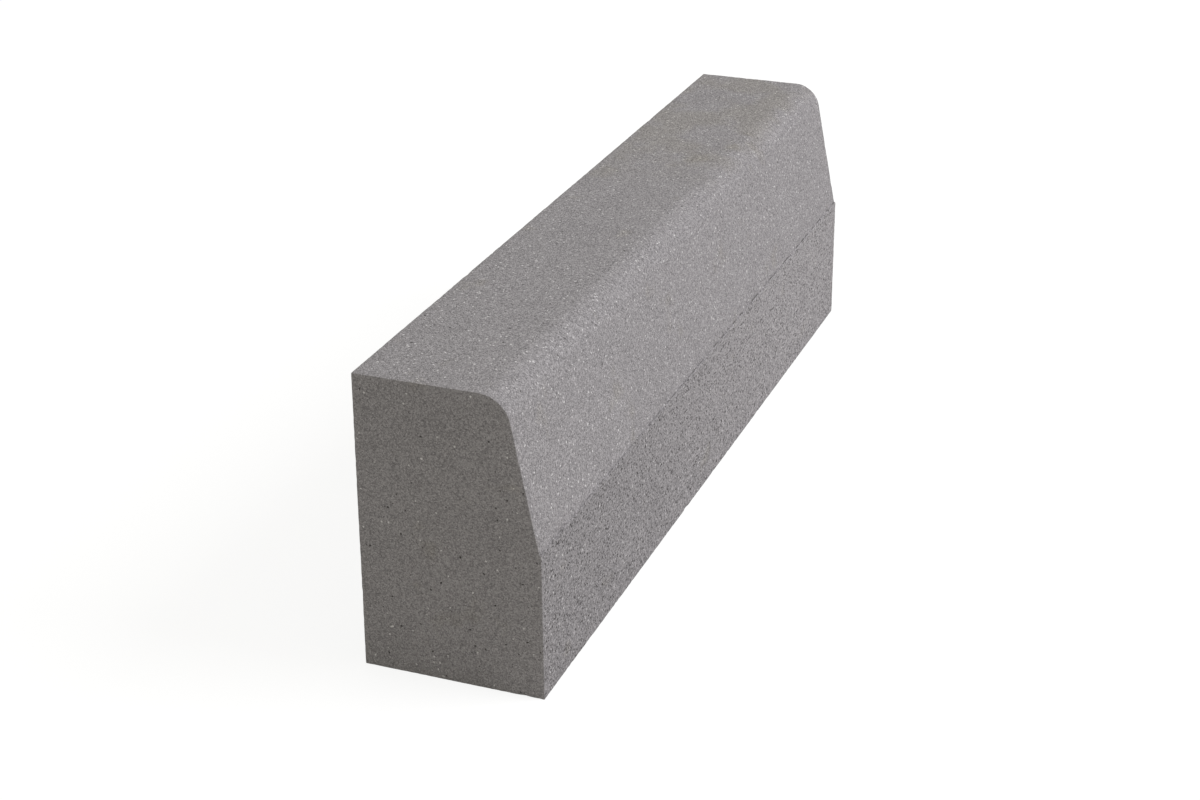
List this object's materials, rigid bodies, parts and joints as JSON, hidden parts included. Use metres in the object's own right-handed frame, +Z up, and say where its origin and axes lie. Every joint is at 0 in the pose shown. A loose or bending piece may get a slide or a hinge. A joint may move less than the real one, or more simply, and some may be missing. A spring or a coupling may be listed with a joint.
{
  "type": "concrete kerb stone",
  "caption": "Straight precast concrete road kerb with a flat bed, vertical back, battered face above a narrow ledge and a rounded nose, laid end to end along a road edge.",
  "frame": {"origin": "centre of the bed, on the level that the stone stands on", "axes": "+X along the kerb line, +Y towards the vertical back, so the battered road face is on -Y, +Z up"},
  "size_m": [1, 0.182, 0.3],
  "materials": {
    "concrete": "matt, fine sandy grain, with small open pores on the lower face, back and ends"
  },
  "bodies": {
    "root": {"kerb_stone": "concrete"}
  },
  "joints": []
}
